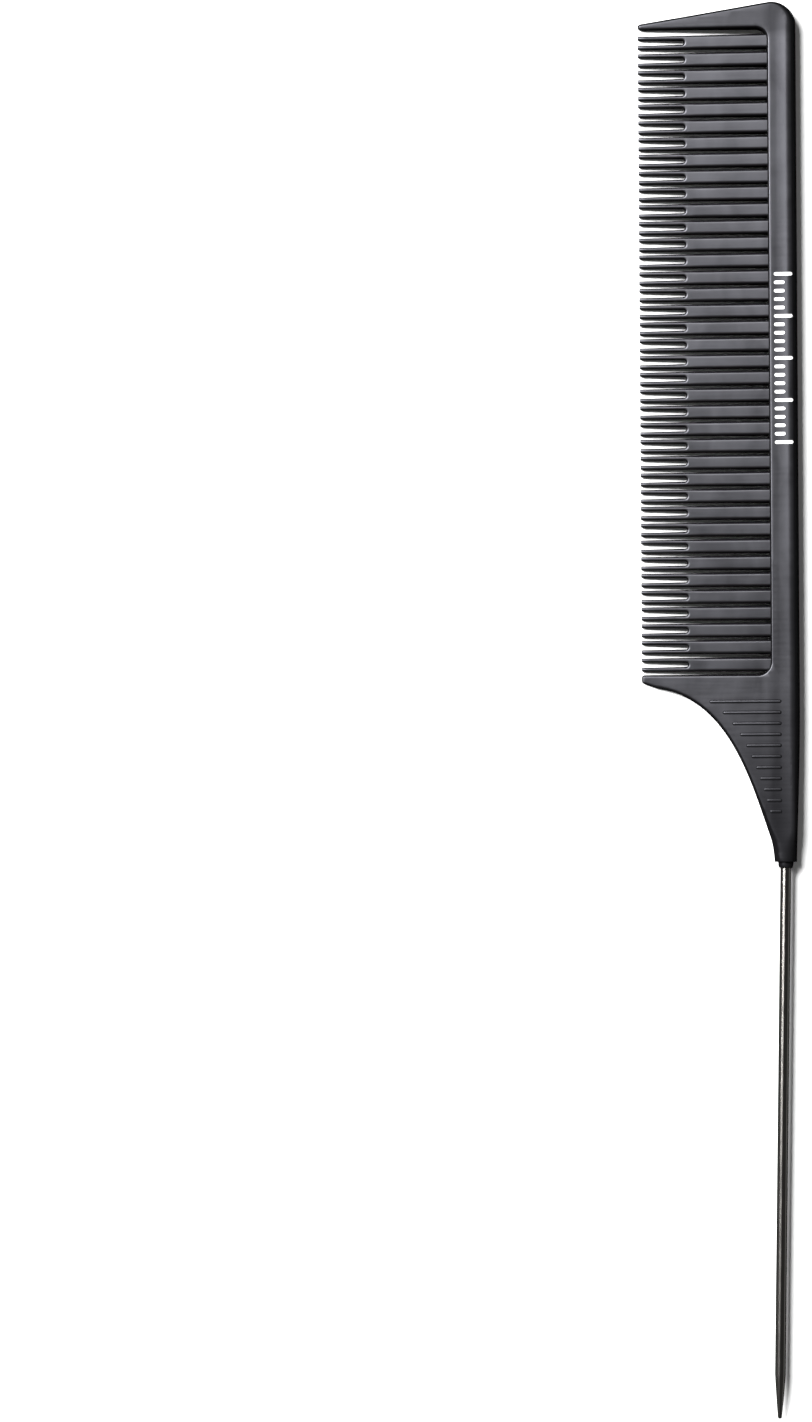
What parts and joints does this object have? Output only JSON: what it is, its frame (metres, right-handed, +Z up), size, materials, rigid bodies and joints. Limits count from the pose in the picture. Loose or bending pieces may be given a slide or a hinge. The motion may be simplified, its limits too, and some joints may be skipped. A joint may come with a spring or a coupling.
{
  "type": "rat tail comb",
  "caption": "Parting comb with a rounded spine, forked fine teeth, a ribbed curved handle and a tapered steel pin tail.",
  "frame": {"origin": "middle of the bounding box in plan, on the plane the comb rests on", "axes": "+Y to the head end, -Y to the tip of the tail, -X to the tooth tips, +X to the back of the spine, +Z up through the thickness"},
  "size_m": [0.0264, 0.2364, 0.0042],
  "materials": {
    "carbon_plastic": "satin moulded black plastic with a faint grain",
    "steel": "polished bright steel wire",
    "print_white": "thin white printed ink"
  },
  "bodies": {
    "root": {"comb_body": "carbon_plastic", "tail_pin": "steel"}
  },
  "joints": []
}
